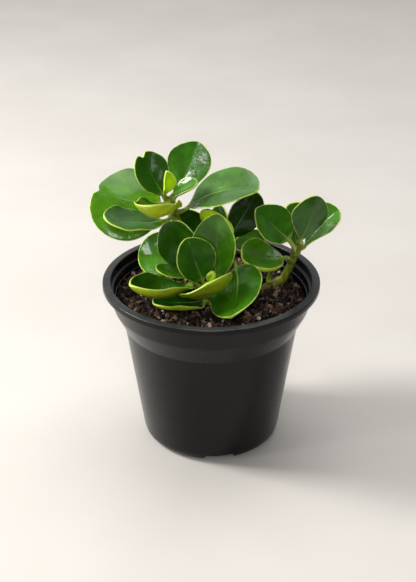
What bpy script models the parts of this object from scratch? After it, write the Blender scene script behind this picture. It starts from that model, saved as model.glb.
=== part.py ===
"""A peperomia in its nursery pot.

Metres, +Z up. The origin is the centre of the pot's underside, on the flat centre pad that the
pot stands on. -Y is the front. The plant leans left (-X) on a tall shoot, and has a low front
shoot, a back shoot and a forked right shoot.
"""

import math

import bpy
import numpy as np
from mathutils import Vector

MM = 0.001
GAP = 0.3 * MM  # between pieces that touch
SHARP_ANGLE = math.radians(40)  # edges above this stay crisp

# Pot, a 12 cm nursery pot
POT_HEIGHT = 97 * MM
LIP_RADIUS = 60 * MM
LIP_HEIGHT = 3.3 * MM
LIP_INNER_RADIUS = 55.4 * MM
COLLAR_TOP_RADIUS = 57.2 * MM
COLLAR_RADIUS = 54.3 * MM  # where the collar turns into the sloping shoulder
COLLAR_Z = 82.5 * MM
WAIST_RADIUS = 48.5 * MM  # where the shoulder meets the tapering body
WAIST_Z = 71 * MM
BASE_RADIUS = 38.3 * MM
BASE_CORNER = 10 * MM
CORNER_STEPS = 5
WALL = 1.5 * MM
FLOOR_TOP = 5.5 * MM
FLOOR_CORNER_RADIUS = 33.8 * MM
FLOOR_CORNER_Z = 12 * MM
UNDERSIDE_RECESS = 4 * MM
RECESS_SLOPE = 1 * MM
FOOT_INNER_RADIUS = 25 * MM
CENTRE_PAD_RADIUS = 9 * MM
RIM_STEP_Z = 92 * MM  # the inner wall steps in below this height
RIM_STEP_IN = 1.4 * MM
SOFT_EDGE = 0.4 * MM
POT_SIDES = 60
FOOT_NOTCHES = 4
FOOT_NOTCH_WIDTH = 17 * MM
FOOT_NOTCH_HEIGHT = 4.5 * MM
FOOT_NOTCH_TURN = math.radians(7)
DRAIN_HOLES = 6
DRAIN_HOLE_RADIUS = 3.5 * MM
DRAIN_HOLE_SIDES = 16
DRAIN_RING_RADIUS = 19 * MM
DRAIN_TURN = math.radians(13)
CUT_MARGIN = 5 * MM  # how far a cutter passes what it cuts

# Soil
SOIL_LEVEL = 86 * MM
SOIL_ROUGHNESS = 1.6 * MM
SOIL_SLOPE = 0.02  # rise towards the front left
# Waves in the soil's top: radians per metre along X and Y, phase, and height as a share
SOIL_WAVES = [(310, 270, 1.8, 0.5), (310, -270, -0.4, 0.5), (520, 430, 0, 1), (900, -760, 2, 0.6)]
SOIL_BASE_Z = FLOOR_TOP + GAP
SOIL_CLEARANCE = 0.5 * MM
SOIL_EDGE_DROP = 1 * MM
SOIL_RINGS = 9
SOIL_SIDES = 48

# Shoots: centre line points in mm from the root end up, and radii in mm at root and tip
SHOOTS = {
    "tall": dict(line=[(-8, 18, 74), (-8, 18, 88), (-11.5, 17.5, 104), (-17.5, 15, 121),
                       (-21.4, 11.8, 135), (-23.2, 9.6, 140.5)],
                 radii=(2.7, 1.7)),
    "front": dict(line=[(1, -12, 74), (1, -12, 86), (-0.2, -12.6, 94), (-1.4, -14.4, 100.4)],
                  radii=(2.6, 1.5)),
    "back": dict(line=[(6, 17, 74), (6, 17, 88), (5.2, 15.5, 98), (4, 14, 108)],
                 radii=(2.6, 1.8)),
    "right": dict(line=[(27, 8, 74), (28.2, 8.6, 81.5), (30.5, 9.8, 84.7), (33.4, 11, 85.8),
                        (37.9, 13.5, 87.4), (40.8, 14.5, 88.9), (42.4, 14.8, 92.1), (44.3, 15, 96),
                        (46.2, 15, 101.3), (46.6, 14.8, 104.1), (46.2, 14.6, 107)],
                  radii=(2.7, 1.9)),
}
FORK = dict(line=[(46.3, 15, 101.5), (48.6, 15, 105.5), (50.1, 15, 110.5)], radii=(1.8, 1.5))
SHOOT_SIDES = 12
SHOOT_STATIONS = 14
FORK_STATIONS = 6
JOINT_STATIONS = 60  # how finely a shoot is searched for a joint's height

# Leaves, in mm
BLADE_THICKNESS = 1.3
BLADE_EDGE = 0.4  # power that squares off the blade's edge, where 1 is round
BLADE_START = 0.18  # share of the midrib over which the petiole flattens into the blade
PETIOLE_RADIUS = 1.15
PETIOLE_FLARE = 1.35
PETIOLE_LEAVE = 2  # how squarely a petiole leaves its shoot
PETIOLE_HANDLES = (0.35, 0.4)  # how stiffly it sets out and arrives, as shares of its length
TIP_REACH = 1.5  # a joint this near a shoot's tip sits on its end
TIP_HALF_WIDTH = 0.4
LEAF_RING = 10
BLADE_STATIONS = 8
PETIOLE_STATIONS = 4
MIDRIB_STEPS = 32
YOUNG_LEAVES = ("tall_leaf_young", "front_bud")

# Each leaf: the shoot it grows on and the height of its joint there, then where its blade starts (mm);
# compass heading (0 is +X, -90 is the front), pitch above level and roll about the midrib, in degrees;
# blade length and width in mm; how far, in degrees, the midrib bends up, sways sideways and twists
# from base to tip; and how far each half curls up (cup) and is folded up (fold). shape is the share of
# the length at which the blade is widest, then how blunt its base and tip are (less is blunter).
# petiole and leave stand in for PETIOLE_RADIUS and PETIOLE_LEAVE.
LEAVES = [
    dict(name="tall_leaf_broad", on="tall", joint=130, base=(-26.8, 10.5, 136),
         heading=-170, pitch=4, roll=-42, length=37, width=45.5,
         bend=-8, sway=-33, twist=2, cup=-20, fold=-1, shape=(0.52, 0.40, 0.45)),
    dict(name="tall_leaf_upper", on="tall", joint=135, base=(-25.9, 12.2, 140.9),
         heading=153, pitch=54, roll=-27, length=26, width=22,
         bend=18, sway=0, twist=1, cup=26, fold=2, shape=(0.54, 0.65, 0.45)),
    dict(name="tall_leaf_top", on="tall", joint=131, base=(-20.5, 18.5, 136),
         heading=48, pitch=46, roll=15, length=34, width=26.5,
         bend=14, sway=5, twist=1, cup=3, fold=7, shape=(0.63, 0.70, 0.60)),
    dict(name="tall_leaf_right", on="tall", joint=131, base=(-12.5, 7.5, 136),
         heading=-6, pitch=40, roll=14, length=41.5, width=34,
         bend=-37, sway=-20, twist=-3, cup=-1, fold=11, shape=(0.53, 0.70, 0.50)),
    dict(name="tall_leaf_small", on="tall", joint=139, base=(-21.5, 7, 143),
         heading=-8, pitch=27, roll=10, length=16.5, width=16.5,
         bend=7, sway=-6, twist=1, cup=53, fold=-7, shape=(0.50, 0.60, 0.45), petiole=0.7),
    dict(name="tall_leaf_young", on="tall", joint=140, base=(-24.6, 6.5, 143),
         heading=53, pitch=95, roll=74, length=15, width=13,
         bend=15, sway=-5, twist=-2, cup=33, fold=39, shape=(0.59, 0.65, 0.50), petiole=0.6),
    dict(name="tall_leaf_front", on="tall", joint=136.5, base=(-23.5, 4.5, 139.5),
         heading=-106, pitch=-13, roll=-2, length=43.5, width=29,
         bend=68, sway=9, twist=8, cup=58, fold=8, shape=(0.44, 0.45, 0.45)),
    dict(name="tall_leaf_lower", on="tall", joint=132.5, base=(-25.5, -1.5, 132),
         heading=-160, pitch=-4, roll=-3, length=34, width=26.5,
         bend=33, sway=-2, twist=-6, cup=26, fold=-1, shape=(0.61, 0.45, 0.50)),
    dict(name="front_leaf_round", on="front", joint=98.0, base=(-4.9, -14.7, 102.4),
         heading=162, pitch=66, roll=-43, length=25, width=25,
         bend=0, sway=-7, twist=2, cup=19, fold=11, shape=(0.52, 0.55, 0.50)),
    dict(name="front_leaf_tall", on="front", joint=96, base=(2, -10.5, 102),
         heading=72, pitch=81, roll=-3, length=36, width=27,
         bend=5, sway=0, twist=1, cup=28, fold=7, shape=(0.52, 0.55, 0.60)),
    dict(name="front_leaf_near", on="front", joint=93.4, base=(-2.5, -18.5, 95),
         heading=-75, pitch=40, roll=7, length=21.5, width=32,
         bend=18, sway=-20, twist=10, cup=45, fold=-9, shape=(0.55, 0.65, 0.55)),
    dict(name="front_leaf_rear_left", on="front", joint=91, base=(-6.5, 1.5, 97.5),
         heading=164, pitch=63, roll=-99, length=35.5, width=29,
         bend=6, sway=-5, twist=0, cup=28, fold=6, shape=(0.54, 0.60, 0.40)),
    dict(name="front_leaf_small", on="front", joint=95.6, base=(-12.6, -8.2, 100.5),
         heading=161, pitch=12, roll=12, length=18.5, width=18,
         bend=4, sway=5, twist=-4, cup=-5, fold=5, shape=(0.57, 0.65, 0.50), petiole=0.7),
    dict(name="front_leaf_left", on="front", joint=93, base=(-10, -14, 100),
         heading=-143, pitch=-27, roll=14, length=42, width=31,
         bend=83, sway=-1, twist=-17, cup=39, fold=19, shape=(0.54, 0.50, 0.45), petiole=1.0),
    dict(name="front_leaf_low", on="front", joint=88, base=(-2.5, -16, 91),
         heading=-175, pitch=-11, roll=-16, length=29, width=27,
         bend=20, sway=-15, twist=6, cup=57, fold=0, shape=(0.52, 0.55, 0.50)),
    dict(name="front_leaf_heart", on="back", joint=96, base=(13.5, -5.5, 106.5),
         heading=-82, pitch=-24, roll=39, length=38.5, width=33.5,
         bend=25, sway=-14, twist=-1, cup=-12, fold=10, shape=(0.51, 0.50, 0.50)),
    dict(name="front_bud", on="front", joint=100.4, base=(-1.9, -16.2, 102.4),
         heading=15, pitch=58, roll=70, length=6.5, width=6,
         bend=10, sway=0, twist=0, cup=30, fold=30, shape=(0.52, 0.60, 0.50), petiole=0.6),
    dict(name="back_leaf_left", on="tall", joint=97, base=(-15.5, 10, 102),
         heading=177, pitch=11, roll=-40, length=25, width=29,
         bend=-2, sway=8, twist=-2, cup=24, fold=9, shape=(0.54, 0.60, 0.45)),
    dict(name="back_leaf_dark", on="back", joint=98, base=(-8.7, 22.5, 105.5),
         heading=152, pitch=56, roll=-63, length=22.5, width=25.5,
         bend=6, sway=-4, twist=0, cup=14, fold=4, shape=(0.53, 0.60, 0.50)),
    dict(name="back_leaf_pale", on="back", joint=103, base=(6, 8, 108.5),
         heading=-142, pitch=68, roll=20, length=31, width=22,
         bend=2, sway=4, twist=-1, cup=29, fold=6, shape=(0.54, 0.60, 0.55)),
    dict(name="back_leaf_rear", on="back", joint=99, base=(14, 23.5, 105),
         heading=138, pitch=54, roll=-93, length=25, width=25,
         bend=-3, sway=-5, twist=1, cup=38, fold=14, shape=(0.54, 0.60, 0.50)),
    dict(name="back_leaf_right", on="back", joint=106, base=(8.5, 12, 115.5),
         heading=31, pitch=48, roll=89, length=30, width=23.5,
         bend=10, sway=12, twist=3, cup=-9, fold=14, shape=(0.54, 0.60, 0.60)),
    dict(name="right_leaf_low", on="right", joint=85.9, base=(32, 14, 99.5),
         heading=-177, pitch=27, roll=-16, length=22.5, width=29,
         bend=1, sway=-10, twist=-1, cup=38, fold=14, shape=(0.55, 0.65, 0.50), leave=0.8),
    dict(name="right_leaf_left", on="right", joint=104.5, base=(42.5, 2.5, 118.5),
         heading=151, pitch=34, roll=-24, length=25, width=24.5,
         bend=18, sway=10, twist=4, cup=-2, fold=14, shape=(0.46, 0.60, 0.60), leave=0.4),
    dict(name="right_leaf_cupped", on="right", joint=100, base=(40, 4, 107),
         heading=-168, pitch=-4, roll=-21, length=25, width=25.5,
         bend=35, sway=-9, twist=-9, cup=31, fold=-7, shape=(0.54, 0.45, 0.40), leave=0.3),
    dict(name="right_leaf_top", on="fork", joint=110.5, base=(49, 9, 115),
         heading=2, pitch=59, roll=118, length=26.5, width=25.5,
         bend=-25, sway=19, twist=0, cup=11, fold=-12, shape=(0.56, 0.70, 0.55)),
    dict(name="right_leaf_pale", on="fork", joint=104.6, base=(47.5, 20.5, 107.3),
         heading=132, pitch=77, roll=1, length=24, width=27,
         bend=1, sway=7, twist=3, cup=67, fold=7, shape=(0.61, 0.65, 0.45)),
    dict(name="right_leaf_far", on="fork", joint=108.4, base=(52.5, 22.5, 105),
         heading=23, pitch=52, roll=13, length=28.5, width=23.5,
         bend=-9, sway=-14, twist=3, cup=16, fold=15, shape=(0.69, 0.60, 0.50), leave=0.8),
]


def material(name, colour, roughness):
    found = bpy.data.materials.get(name)
    if found:
        return found
    made = bpy.data.materials.new(name)
    made.use_nodes = True
    shader = made.node_tree.nodes["Principled BSDF"]
    shader.inputs["Base Color"].default_value = (*colour, 1)
    shader.inputs["Roughness"].default_value = roughness
    return made


def add_object(name, points, faces, look, hidden=False):
    mesh = bpy.data.meshes.new(name)
    mesh.from_pydata([tuple(float(c) for c in point) for point in points], [], faces)
    mesh.validate()
    mesh.shade_smooth()
    mesh.set_sharp_from_angle(angle=SHARP_ANGLE)
    made = bpy.data.objects.new(name, mesh)
    bpy.context.collection.objects.link(made)
    made.data.materials.append(look)
    if hidden:
        made.hide_render = True
        made.display_type = "WIRE"
    return made


def cut(target, cutter):
    boolean = target.modifiers.new("cut_" + cutter.name, "BOOLEAN")
    boolean.operation = "DIFFERENCE"
    boolean.object = cutter


def turns(count):
    """Angles of count even steps round a circle."""
    return [2 * math.pi * j / count for j in range(count)]


def circle(radius, z, count):
    return [(radius * math.cos(a), radius * math.sin(a), z) for a in turns(count)]


def ring_faces(rings, count):
    """Quads between successive rings of count points."""
    faces = []
    for i in range(rings - 1):
        for j in range(count):
            k = (j + 1) % count
            faces.append((i * count + j, i * count + k, (i + 1) * count + k, (i + 1) * count + j))
    return faces


def domed(name, bottom, rings, top, look):
    """A closed solid from a point underneath, out through rings of points, to a point on top."""
    count = len(rings[0])
    points = [bottom] + [point for ring in rings for point in ring] + [top]
    faces = [tuple(i + 1 for i in face) for face in ring_faces(len(rings), count)]
    last, upper = len(points) - 1, 1 + (len(rings) - 1) * count
    for j in range(count):
        k = (j + 1) % count
        faces.append((0, 1 + k, 1 + j))
        faces.append((last, upper + j, upper + k))
    return add_object(name, points, faces, look)


def turned(name, profile, sides, look):
    """A closed solid of revolution about Z. The profile (radius, z) runs from the axis on the underside,
    round the outside, and back to the axis on the top side."""
    rings = [circle(radius, z, sides) for radius, z in profile[1:-1]]
    return domed(name, (0, 0, profile[0][1]), rings, (0, 0, profile[-1][1]), look)


def tube(name, line, radii, sides, look, hidden=False):
    """A closed tube through the points, its radius going from the first to the second."""
    line = [Vector(point) for point in line]
    points = []
    across = Vector((1, 0, 0))
    for i, centre in enumerate(line):
        along = (line[min(i + 1, len(line) - 1)] - line[max(i - 1, 0)]).normalized()
        across = (across - along * across.dot(along)).normalized()
        up = along.cross(across)
        radius = radii[0] + (radii[1] - radii[0]) * i / (len(line) - 1)
        for a in turns(sides):
            points.append(centre + radius * (across * math.cos(a) + up * math.sin(a)))
    faces = ring_faces(len(line), sides)
    faces.append(tuple(reversed(range(sides))))
    faces.append(tuple(range((len(line) - 1) * sides, len(line) * sides)))
    return add_object(name, points, faces, look, hidden)


def smooth_line(knots, count):
    """A Catmull-Rom curve through the knots, read at count points."""
    knots = [np.array(knot, float) for knot in knots]
    knots = [2 * knots[0] - knots[1]] + knots + [2 * knots[-1] - knots[-2]]
    spans = len(knots) - 3
    line = []
    for i in range(count):
        x = spans * i / (count - 1)
        k = min(int(x), spans - 1)
        t = x - k
        a, b, c, d = knots[k:k + 4]
        line.append(0.5 * (2 * b + (c - a) * t + (2 * a - 5 * b + 4 * c - d) * t ** 2
                           + (3 * b - a - 3 * c + d) * t ** 3))
    return line


def shoot_at(shoot, z):
    """Centre and direction of a shoot at height z, and its radius there, all in mm."""
    line = smooth_line(shoot["line"], JOINT_STATIONS)
    last = len(line) - 1
    k = min(range(len(line)), key=lambda i: abs(line[i][2] - z))
    along = line[min(k + 1, last)] - line[max(k - 1, 0)]
    root, tip = shoot["radii"]
    return line[k], along / np.linalg.norm(along), root + (tip - root) * k / last


def rotation(axis, angle):
    x, y, z = axis
    c, s = math.cos(angle), math.sin(angle)
    return np.array([
        [c + x * x * (1 - c), x * y * (1 - c) - z * s, x * z * (1 - c) + y * s],
        [y * x * (1 - c) + z * s, c + y * y * (1 - c), y * z * (1 - c) - x * s],
        [z * x * (1 - c) - y * s, z * y * (1 - c) + x * s, c + z * z * (1 - c)],
    ])


def blade_frame(leaf):
    """Columns along the midrib, across the blade and out of its upper side, where the blade starts."""
    a, t, r = (math.radians(leaf[key]) for key in ("heading", "pitch", "roll"))
    along = np.array([math.cos(t) * math.cos(a), math.cos(t) * math.sin(a), math.sin(t)])
    level = np.array([-math.sin(a), math.cos(a), 0])
    out = np.cross(along, level)
    across = level * math.cos(r) + out * math.sin(r)
    return np.stack([along, across, out * math.cos(r) - level * math.sin(r)], 1)


def midrib(leaf):
    """Points and frames along the midrib, which turns at a steady rate from base to tip."""
    turn = np.radians([leaf["twist"], -leaf["bend"], leaf["sway"]]) / MIDRIB_STEPS
    angle = float(np.linalg.norm(turn))
    step, half = rotation(turn / angle, angle), rotation(turn / angle, angle / 2)
    point, frame = np.array(leaf["base"], float), blade_frame(leaf)
    points, frames = [point], [frame]
    for _ in range(MIDRIB_STEPS):
        point = point + (frame @ half)[:, 0] * leaf["length"] / MIDRIB_STEPS
        frame = frame @ step
        points.append(point)
        frames.append(frame)
    return points, frames


def section(centre, frame, half_width, thickness, edge, fold, curl):
    """A ring round the blade or petiole: half_width across, folded up by fold at the midrib and then
    curling up by curl per mm. The edge power squares it off (below 1) or leaves it round (1)."""
    ring = []
    for angle in turns(LEAF_RING):
        side = half_width * math.cos(angle)
        lift = math.sin(angle)
        lift = thickness / 2 * math.copysign(abs(lift) ** edge, lift)
        reach = abs(side)
        tilt = fold + curl * reach
        if abs(curl) < 1e-6:
            y, z = reach * math.cos(fold), reach * math.sin(fold)
        else:
            y = (math.sin(tilt) - math.sin(fold)) / curl
            z = (math.cos(fold) - math.cos(tilt)) / curl
        y = math.copysign(y - lift * math.sin(tilt), side) if reach > 1e-9 else 0
        z += lift * math.cos(tilt)
        ring.append(centre + frame[:, 1] * y + frame[:, 2] * z)
    return ring


def petiole_start(leaf):
    """Where the petiole meets its shoot's skin, and the direction it leaves in."""
    shoot = SHOOTS.get(leaf["on"], FORK)
    centre, along, radius = shoot_at(shoot, leaf["joint"])
    out = np.array(leaf["base"], float) - centre
    sideways = out - along * (out @ along)
    sideways /= np.linalg.norm(sideways)
    tip = np.array(shoot["line"][-1], float)
    flare = PETIOLE_FLARE * leaf.get("petiole", PETIOLE_RADIUS)
    if np.linalg.norm(tip - centre) < TIP_REACH:
        lean = along + out / np.linalg.norm(out)
        lean /= np.linalg.norm(lean)
        tilt = math.sqrt(max(1 - float(lean @ along) ** 2, 0))
        return tip + along * (GAP / MM + flare * tilt), lean
    lean = leaf.get("leave", PETIOLE_LEAVE) * sideways + out / np.linalg.norm(out)
    lean /= np.linalg.norm(lean)
    clear = radius + GAP / MM + flare * abs(float(lean @ along))
    return centre + sideways * clear, lean


def petiole_rings(leaf, base, frame):
    """Rings along a curved petiole from the shoot to just before the blade."""
    radius = leaf.get("petiole", PETIOLE_RADIUS)
    start, leaving = petiole_start(leaf)
    reach = float(np.linalg.norm(base - start))
    first = start + leaving * PETIOLE_HANDLES[0] * reach
    second = base - frame[:, 0] * PETIOLE_HANDLES[1] * reach
    rings = []
    for i in range(PETIOLE_STATIONS):
        s = i / PETIOLE_STATIONS
        centre = ((1 - s) ** 3 * start + 3 * (1 - s) ** 2 * s * first
                  + 3 * (1 - s) * s ** 2 * second + s ** 3 * base)
        along = ((1 - s) ** 2 * (first - start) + 2 * (1 - s) * s * (second - first)
                 + s ** 2 * (base - second))
        along /= np.linalg.norm(along)
        across = frame[:, 1] - along * (frame[:, 1] @ along)
        across /= np.linalg.norm(across)
        flare = radius * (PETIOLE_FLARE + (1 - PETIOLE_FLARE) * s)
        here = np.stack([along, across, np.cross(along, across)], 1)
        rings.append(section(centre, here, flare, 2 * flare, 1, 0, 0))
    return rings


def blade_rings(leaf, points, frames):
    """Rings from the end of the petiole to the blade's tip."""
    radius = leaf.get("petiole", PETIOLE_RADIUS)
    widest, base_round, tip_round = leaf["shape"]
    skew = math.log(0.5) / math.log(widest)
    half = leaf["width"] / 2
    fold, curl = math.radians(leaf["fold"]), math.radians(leaf["cup"]) / half
    rings = []
    for i in range(BLADE_STATIONS + 1):
        s = (1 - math.cos(math.pi * i / BLADE_STATIONS)) / 2
        blunt = base_round + (tip_round - base_round) * s
        spread = max(math.sin(math.pi * s ** skew), 0) ** blunt
        flat = min(s / BLADE_START, 1)
        flat = flat * flat * (3 - 2 * flat)
        half_width = max(math.hypot(half * spread, radius * (1 - flat)), TIP_HALF_WIDTH)
        thickness = 2 * radius * (1 - flat) + BLADE_THICKNESS * flat
        k = min(int(s * MIDRIB_STEPS), MIDRIB_STEPS - 1)
        part = s * MIDRIB_STEPS - k
        centre = points[k] * (1 - part) + points[k + 1] * part
        here = frames[k] * (1 - part) + frames[k + 1] * part
        edge = 1 - (1 - BLADE_EDGE) * flat
        rings.append(section(centre, here, half_width, thickness, edge, fold * flat, curl * flat))
    return rings


def across_cap(first, count):
    """Faces that close a ring in strips from side to side, so that a curved end stays on the leaf."""
    faces = [(first, first + 1, first + count - 1)]
    for j in range(1, count // 2):
        low, high = first + j, first + count - j
        if j + 1 == count // 2:
            faces.append((low, first + count // 2, high))
        else:
            faces.append((low, low + 1, high - 1, high))
    return faces


def make_leaf(leaf):
    midrib_points, frames = midrib(leaf)
    rings = petiole_rings(leaf, midrib_points[0], frames[0]) + blade_rings(leaf, midrib_points, frames)
    points = [point * MM for ring in rings for point in ring]
    faces = ring_faces(len(rings), LEAF_RING)
    faces += [tuple(reversed(face)) for face in across_cap(0, LEAF_RING)]
    faces += across_cap((len(rings) - 1) * LEAF_RING, LEAF_RING)
    if leaf["name"] in YOUNG_LEAVES:
        look = material("young_leaf", (0.42, 0.62, 0.02), 0.4)
    else:
        look = material("leaf", (0.03, 0.13, 0.02), 0.3)
    return add_object(leaf["name"], points, faces, look)


def shoot_line(shoot, count):
    """The shoot's smooth centre line, in metres."""
    return [point * MM for point in smooth_line(shoot["line"], count)]


def make_shoots():
    bark = material("shoot", (0.16, 0.19, 0.02), 0.5)
    made = {}
    for name, shoot in SHOOTS.items():
        radii = [radius * MM for radius in shoot["radii"]]
        line = shoot_line(shoot, SHOOT_STATIONS)
        made[name] = tube(name + "_shoot", line, radii, SHOOT_SIDES, bark)
    radii = [radius * MM for radius in FORK["radii"]]
    branch = tube("fork", shoot_line(FORK, FORK_STATIONS), radii, SHOOT_SIDES, bark, hidden=True)
    join = made["right"].modifiers.new("fork", "BOOLEAN")
    join.operation = "UNION"
    join.object = branch


def inner_radius(z):
    """Radius of the pot's inner wall below the rim step."""
    heights = [BASE_CORNER, WAIST_Z, COLLAR_Z, RIM_STEP_Z]
    radii = [BASE_RADIUS - WALL, WAIST_RADIUS - WALL, COLLAR_RADIUS - WALL, LIP_INNER_RADIUS - RIM_STEP_IN]
    return float(np.interp(z, heights, radii))


def base_corner():
    """The round between the foot and the body, from the foot up."""
    points = []
    for i in range(CORNER_STEPS):
        a = math.pi / 2 * i / CORNER_STEPS
        points.append((BASE_RADIUS - BASE_CORNER * (1 - math.sin(a)), BASE_CORNER * (1 - math.cos(a))))
    return points


def foot_notch(name, angle, look):
    """A block across the foot."""
    half = FOOT_NOTCH_WIDTH / 2
    near, far = FOOT_INNER_RADIUS - CUT_MARGIN, BASE_RADIUS + CUT_MARGIN
    points = []
    for z in (-CUT_MARGIN, FOOT_NOTCH_HEIGHT):
        for r, s in ((near, -half), (far, -half), (far, half), (near, half)):
            x = r * math.cos(angle) - s * math.sin(angle)
            y = r * math.sin(angle) + s * math.cos(angle)
            points.append((x, y, z))
    faces = [(3, 2, 1, 0), (4, 5, 6, 7), (0, 1, 5, 4), (1, 2, 6, 5), (2, 3, 7, 6), (3, 0, 4, 7)]
    return add_object(name, points, faces, look, hidden=True)


def drain_hole(name, angle, look):
    x, y = DRAIN_RING_RADIUS * math.cos(angle), DRAIN_RING_RADIUS * math.sin(angle)
    line = [(x, y, -CUT_MARGIN), (x, y, FLOOR_TOP + CUT_MARGIN)]
    radii = (DRAIN_HOLE_RADIUS, DRAIN_HOLE_RADIUS)
    return tube(name, line, radii, DRAIN_HOLE_SIDES, look, hidden=True)


def make_pot():
    black = material("pot", (0.012, 0.012, 0.014), 0.45)
    lip_base = POT_HEIGHT - LIP_HEIGHT
    outside = [
        (0, 0),
        (CENTRE_PAD_RADIUS, 0),
        (CENTRE_PAD_RADIUS + RECESS_SLOPE, UNDERSIDE_RECESS),
        (FOOT_INNER_RADIUS - RECESS_SLOPE, UNDERSIDE_RECESS),
        (FOOT_INNER_RADIUS, 0),
        *base_corner(),
        (BASE_RADIUS, BASE_CORNER),
        (WAIST_RADIUS, WAIST_Z),
        (COLLAR_RADIUS, COLLAR_Z),
        (COLLAR_TOP_RADIUS, lip_base),
        (LIP_RADIUS - SOFT_EDGE, lip_base),
        (LIP_RADIUS, lip_base + SOFT_EDGE),
        (LIP_RADIUS, POT_HEIGHT - 2 * SOFT_EDGE),
        (LIP_RADIUS - 2 * SOFT_EDGE, POT_HEIGHT),
    ]
    inside = [
        (LIP_INNER_RADIUS + SOFT_EDGE, POT_HEIGHT),
        (LIP_INNER_RADIUS, POT_HEIGHT - SOFT_EDGE),
        (LIP_INNER_RADIUS, RIM_STEP_Z),
        (LIP_INNER_RADIUS - RIM_STEP_IN, RIM_STEP_Z - SOFT_EDGE),
        (inner_radius(COLLAR_Z), COLLAR_Z),
        (inner_radius(WAIST_Z), WAIST_Z),
        (inner_radius(FLOOR_CORNER_Z), FLOOR_CORNER_Z),
        (FLOOR_CORNER_RADIUS, FLOOR_TOP),
        (0, FLOOR_TOP),
    ]
    pot = turned("pot", outside + inside, POT_SIDES, black)
    for i, angle in enumerate(turns(FOOT_NOTCHES)):
        cut(pot, foot_notch(f"foot_notch_{i}", angle + FOOT_NOTCH_TURN, black))
    for i, angle in enumerate(turns(DRAIN_HOLES)):
        cut(pot, drain_hole(f"drain_hole_{i}", angle + DRAIN_TURN, black))


def soil_height(x, y):
    """Uneven top of the soil, a little higher at the front left."""
    waves = sum(share * math.sin(a * x + b * y + phase) for a, b, phase, share in SOIL_WAVES)
    waves /= sum(share for *_, share in SOIL_WAVES)
    return SOIL_LEVEL + SOIL_ROUGHNESS * waves - SOIL_SLOPE * (x + y)


def make_soil():
    earth = material("soil", (0.035, 0.018, 0.012), 0.9)
    rings = [circle(FLOOR_CORNER_RADIUS - SOIL_CLEARANCE, SOIL_BASE_Z, SOIL_SIDES)]
    for z in (FLOOR_CORNER_Z, WAIST_Z, COLLAR_Z):
        rings.append(circle(inner_radius(z) - SOIL_CLEARANCE, z, SOIL_SIDES))
    edge = inner_radius(COLLAR_Z) - SOIL_CLEARANCE
    for i in range(SOIL_RINGS):
        drop = SOIL_EDGE_DROP if i == 0 else 0
        flat = circle(edge * (1 - i / SOIL_RINGS), 0, SOIL_SIDES)
        rings.append([(x, y, soil_height(x, y) - drop) for x, y, _ in flat])
    soil = domed("soil", (0, 0, SOIL_BASE_Z), rings, (0, 0, soil_height(0, 0)), earth)
    for name, shoot in SHOOTS.items():
        line = shoot_line(shoot, SHOOT_STATIONS)
        line[0] = line[0] - np.array([0, 0, GAP])
        radii = [radius * MM + GAP for radius in shoot["radii"]]
        cut(soil, tube(name + "_socket", line, radii, SHOOT_SIDES, earth, hidden=True))


def main():
    for old in list(bpy.data.objects):
        bpy.data.objects.remove(old, do_unlink=True)
    make_pot()
    make_soil()
    make_shoots()
    for leaf in LEAVES:
        make_leaf(leaf)


main()
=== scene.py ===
"""The potted peperomia as it is seen: fine leaves, shoots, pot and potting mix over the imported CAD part.

Metres, +Z up, in the CAD part's frame. Leaf and shoot tables are in mm, as in the part.
"""

import random
from math import cos, exp, hypot, log, pi, radians, sin, sqrt

import bmesh
import bpy
import numpy as np
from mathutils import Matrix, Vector, noise


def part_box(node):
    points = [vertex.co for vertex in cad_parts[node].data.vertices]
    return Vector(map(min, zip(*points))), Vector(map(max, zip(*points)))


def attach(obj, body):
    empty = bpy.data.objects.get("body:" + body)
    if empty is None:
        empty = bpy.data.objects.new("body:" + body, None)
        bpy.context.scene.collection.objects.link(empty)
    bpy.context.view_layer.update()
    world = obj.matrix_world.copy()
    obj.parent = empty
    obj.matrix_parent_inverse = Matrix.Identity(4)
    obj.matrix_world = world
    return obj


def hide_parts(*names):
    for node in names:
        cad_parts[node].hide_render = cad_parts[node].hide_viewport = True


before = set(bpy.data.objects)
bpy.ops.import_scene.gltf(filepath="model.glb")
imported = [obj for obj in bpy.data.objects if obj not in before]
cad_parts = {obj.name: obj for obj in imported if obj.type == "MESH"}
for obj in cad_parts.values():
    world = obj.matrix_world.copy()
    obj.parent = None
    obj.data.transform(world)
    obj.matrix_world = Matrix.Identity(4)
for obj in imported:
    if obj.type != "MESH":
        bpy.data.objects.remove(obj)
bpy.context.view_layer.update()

MM = 0.001

# Pot, as in the CAD part (mm)
POT_HEIGHT = 97
LIP_RADIUS = 60
LIP_HEIGHT = 3.3
LIP_INNER_RADIUS = 55.4
COLLAR_TOP_RADIUS = 57.2
COLLAR_RADIUS = 54.3
COLLAR_Z = 82.5
WAIST_RADIUS = 48.5
WAIST_Z = 71
BASE_RADIUS = 38.3
BASE_CORNER = 10
WALL = 1.5
FLOOR_TOP = 5.5
FLOOR_CORNER_Z = 12
UNDERSIDE_RECESS = 4
FOOT_INNER_RADIUS = 25
CENTRE_PAD_RADIUS = 9
RIM_STEP_Z = 92
RIM_STEP_IN = 1.4
SOFT_EDGE = 0.4
FILLET_STEPS = 6
# A ridge round the inner wall: height, how far it stands in, and fillet
WALL_RIDGE = [(87.6, 0, 0.3), (87.4, 0.6, 0.2), (86.4, 0.6, 0.2), (86.2, 0, 0.3)]
POT_SIDES = 192
FOOT_NOTCHES = 4
FOOT_NOTCH_WIDTH = 17
FOOT_NOTCH_HEIGHT = 4.5
FOOT_NOTCH_ROUNDING = 1.6
FOOT_NOTCH_TURN = radians(7)
DRAIN_HOLES = 6
DRAIN_HOLE_RADIUS = 3.5
DRAIN_HOLE_SIDES = 32
DRAIN_RING_RADIUS = 19
DRAIN_TURN = radians(13)
CUT_MARGIN = 5  # how far a cutter passes what it cuts

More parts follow.
